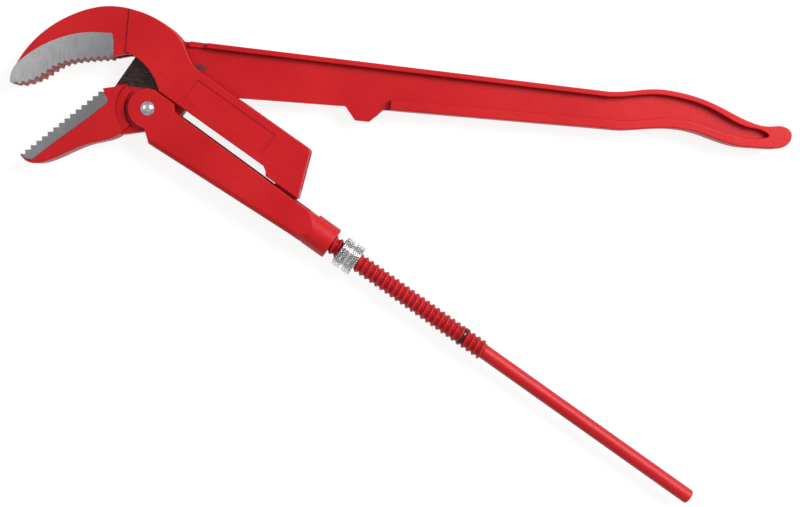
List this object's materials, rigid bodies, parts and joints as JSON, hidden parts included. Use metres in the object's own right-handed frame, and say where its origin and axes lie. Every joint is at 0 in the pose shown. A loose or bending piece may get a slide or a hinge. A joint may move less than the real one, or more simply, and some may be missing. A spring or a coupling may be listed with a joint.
{
  "type": "swedish pattern pipe wrench",
  "caption": "Long pipe wrench with a hooked toothed upper jaw, a hinged toothed lower jaw on an I-section handle, a sliding arm and a knurled adjusting nut on a threaded handle bar.",
  "frame": {"origin": "on the axis of the round handle bar, at the middle of its smooth grip", "axes": "+X along the handle bar towards its free end, +Y towards the I-section handle, +Z square to the flat side of the tool, mid-plane at z = 0"},
  "size_m": [0.6378, 0.3697, 0.031],
  "materials": {
    "red_enamel": "semi-gloss enamel over forged steel, with ground bare faces on the jaws",
    "polished_steel": "polished rivet head",
    "chrome_plate": "bright plating over a diamond knurl",
    "black_steel": "glossy black oxide"
  },
  "bodies": {
    "upper": {"upper_jaw": "red_enamel", "handle_rod": "red_enamel", "stop_ring": "black_steel"},
    "arm": {"sliding_arm": "red_enamel", "pivot_pin": "polished_steel"},
    "leg": {"lower_jaw_handle": "red_enamel"},
    "nut": {"adjusting_nut": "chrome_plate"}
  },
  "joints": [
    {"name": "arm_slide", "type": "slide", "parent": "upper", "child": "arm", "axis": [1, 0, 0], "range_m": [-0.008, 0.084]},
    {"name": "jaw_hinge", "type": "hinge", "parent": "arm", "child": "leg", "pos_m": [-0.4296, 0.0036, 0], "axis": [0, 0, 1], "range_deg": [-20, 14]},
    {"name": "nut_spin", "type": "hinge", "parent": "arm", "child": "nut", "pos_m": [-0.23375, 0, 0], "axis": [1, 0, 0], "range_deg": [-600, 6100]}
  ],
  "couplings": [
    {"joint": "nut_spin", "follows": "arm_slide", "rad_per_m": 1256.6}
  ]
}
